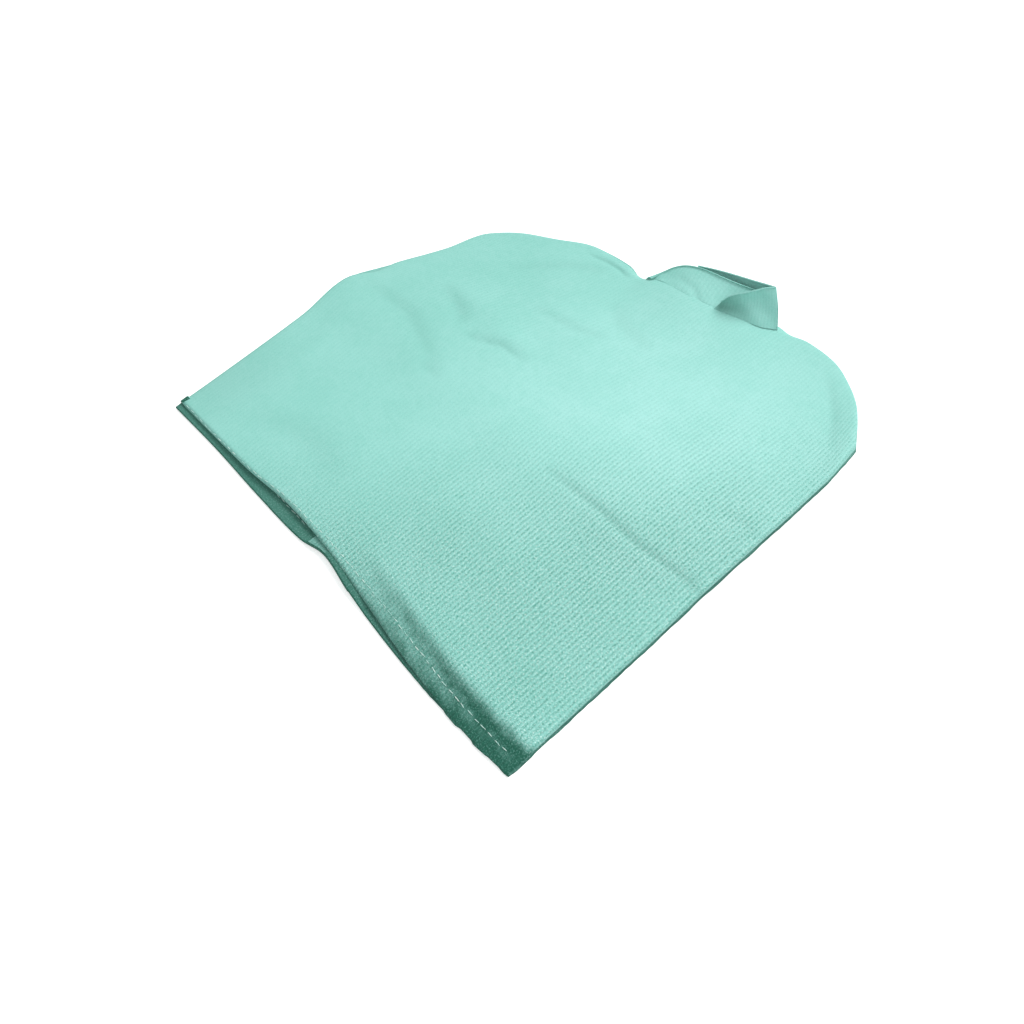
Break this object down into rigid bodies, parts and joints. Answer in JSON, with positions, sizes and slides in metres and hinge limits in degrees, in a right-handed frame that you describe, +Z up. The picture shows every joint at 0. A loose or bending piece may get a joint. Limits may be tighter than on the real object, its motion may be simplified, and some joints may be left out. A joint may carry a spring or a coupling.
{
  "type": "patient gown",
  "caption": "Short-sleeved patient gown in mint green textured cotton, laid on its back with the sleeves folded under, hem open and neck band raised.",
  "frame": {"origin": "middle of the footprint, on the surface that the gown lies on", "axes": "+X along the bottom hem towards the wearer's left side as seen from above the front, +Y from the hem to the neck, +Z up, out of the front panel"},
  "size_m": [0.673, 0.6482, 0.0539],
  "materials": {
    "gown_cloth": "matt textured cotton weave, mint green",
    "turned_cloth": "the same cloth turned under and stitched, darker green where it rolls into shade",
    "seam_allowance": "overlocked raw edges of the same cloth",
    "thread": "pale sewing thread"
  },
  "bodies": {
    "root": {"front_panel": "gown_cloth", "back_panel_left": "gown_cloth", "back_panel_right": "gown_cloth", "sleeve_left": "gown_cloth", "sleeve_right": "gown_cloth", "neck_band_front_left": "gown_cloth", "neck_band_front_right": "gown_cloth", "neck_band_back_left": "gown_cloth", "neck_band_back_right": "gown_cloth", "front_hem": "turned_cloth", "back_hem_left": "turned_cloth", "back_hem_right": "turned_cloth", "sleeve_hem_left": "turned_cloth", "sleeve_hem_right": "turned_cloth", "back_edge_left": "turned_cloth", "back_edge_right": "turned_cloth", "side_seam_left": "seam_allowance", "side_seam_right": "seam_allowance", "armhole_seam_left": "seam_allowance", "armhole_seam_right": "seam_allowance", "shoulder_seam_left": "seam_allowance", "shoulder_seam_right": "seam_allowance", "front_hem_thread": "thread", "back_hem_thread_left": "thread", "back_hem_thread_right": "thread"}
  },
  "joints": []
}
